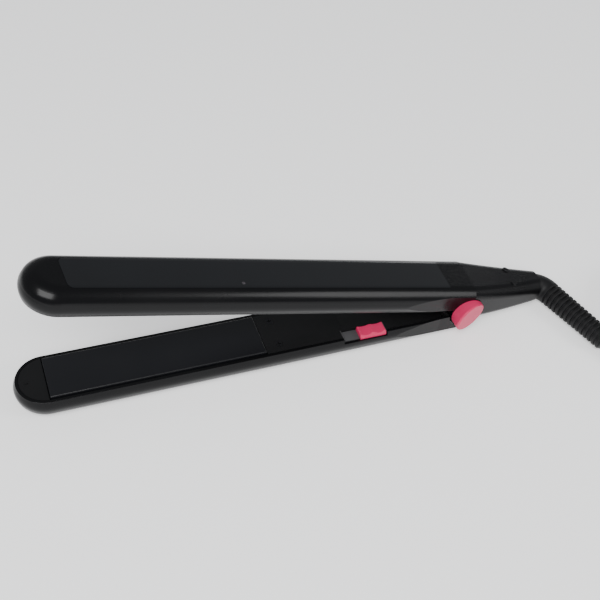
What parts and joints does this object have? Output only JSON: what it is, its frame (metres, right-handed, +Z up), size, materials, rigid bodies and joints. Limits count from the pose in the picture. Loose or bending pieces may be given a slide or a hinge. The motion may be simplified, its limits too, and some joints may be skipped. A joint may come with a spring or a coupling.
{
  "type": "flat iron",
  "caption": "Slim hinged flat iron with floating heat plates, a slide switch, round hinge caps and a mains cord in a ribbed strain relief, cord coiled beside it.",
  "frame": {"origin": "on the table, under the middle of the open iron's own box, the cord left out", "axes": "+X from the noses to the tail, +Y across the arms, +Z up"},
  "size_m": [0.4185, 0.1079, 0.0881],
  "materials": {
    "black_gloss": "glossy black moulded casing",
    "panel_gloss": "high-gloss black insert",
    "black_matte": "fine matte black inner moulding",
    "pink": "satin pink plastic",
    "switch_grey": "grey switch recess",
    "plate_coating": "black ceramic-coated aluminium plate",
    "carrier": "heat-proof black plastic",
    "ceramic": "white ceramic heater in film",
    "steel": "spring and fastener steel",
    "silicone": "red-brown silicone",
    "board_green": "glass-fibre board",
    "component_black": "electronic components",
    "lead_insulation": "silicone wire insulation",
    "lens_clear": "clear light pipe",
    "rubber_black": "black flexible rubber",
    "pin_plating": "nickel-plated plug pins"
  },
  "bodies": {
    "upper_arm": {"upper_shell": "black_gloss", "upper_gloss_panel": "panel_gloss", "indicator_lens": "lens_clear", "indicator_light": "component_black", "upper_heater_carrier": "carrier", "upper_inner_cover": "black_matte", "upper_plate_cushions": "silicone", "circuit_board": "board_green", "board_parts": "component_black", "upper_arm_screws": "steel", "upper_heater_leads": "lead_insulation", "mains_leads": "lead_insulation", "tail_housing": "black_gloss", "tail_cover": "black_gloss", "cord_clamp": "black_matte", "tail_screws": "steel", "cord_end": "rubber_black", "hinge_pin": "steel", "hinge_spring": "steel", "near_hinge_cap": "pink", "far_hinge_cap": "black_gloss", "strain_relief": "rubber_black", "cord_tube": "rubber_black", "cord_coil": "rubber_black", "coil_tie": "black_matte", "cord_tail": "rubber_black", "plug_body": "rubber_black", "plug_pins": "pin_plating"},
    "upper_plate": {"upper_heat_plate": "plate_coating", "upper_heater": "ceramic", "upper_heater_clip": "steel", "temperature_sensor": "component_black"},
    "lower_arm": {"lower_shell": "black_gloss", "lower_inner_cover": "black_matte", "lower_heater_carrier": "carrier", "lower_plate_cushions": "silicone", "lower_arm_screws": "steel", "lower_leads": "lead_insulation", "hinge_knuckle": "black_matte", "switch_base": "switch_grey", "switch_body": "component_black"},
    "lower_plate": {"lower_heat_plate": "plate_coating", "lower_heater": "ceramic", "lower_heater_clip": "steel", "thermal_fuse": "component_black"},
    "power_switch": {"switch_slider": "pink"}
  },
  "joints": [
    {"name": "closing_hinge", "type": "hinge", "parent": "upper_arm", "child": "lower_arm", "pos_m": [0.0945, 0.00273, 0.0146], "axis": [0, 1, 0], "range_deg": [0, 14.6], "stiffness_Nm_per_rad": 0.5, "springref_deg": -60.16, "deforming": ["hinge_spring"]},
    {"name": "upper_plate_float", "type": "slide", "parent": "upper_arm", "child": "upper_plate", "axis": [0.2521, 0, 0.9677], "range_m": [0, 0.0008], "stiffness_N_per_m": 6000, "springref_m": -0.0004, "deforming": ["upper_plate_cushions"]},
    {"name": "lower_plate_float", "type": "slide", "parent": "lower_arm", "child": "lower_plate", "axis": [0, 0, -1], "range_m": [0, 0.0008], "stiffness_N_per_m": 6000, "springref_m": -0.0004, "deforming": ["lower_plate_cushions"]},
    {"name": "switch_slide", "type": "slide", "parent": "lower_arm", "child": "power_switch", "axis": [-1, 0, 0], "range_m": [0, 0.0055]}
  ]
}
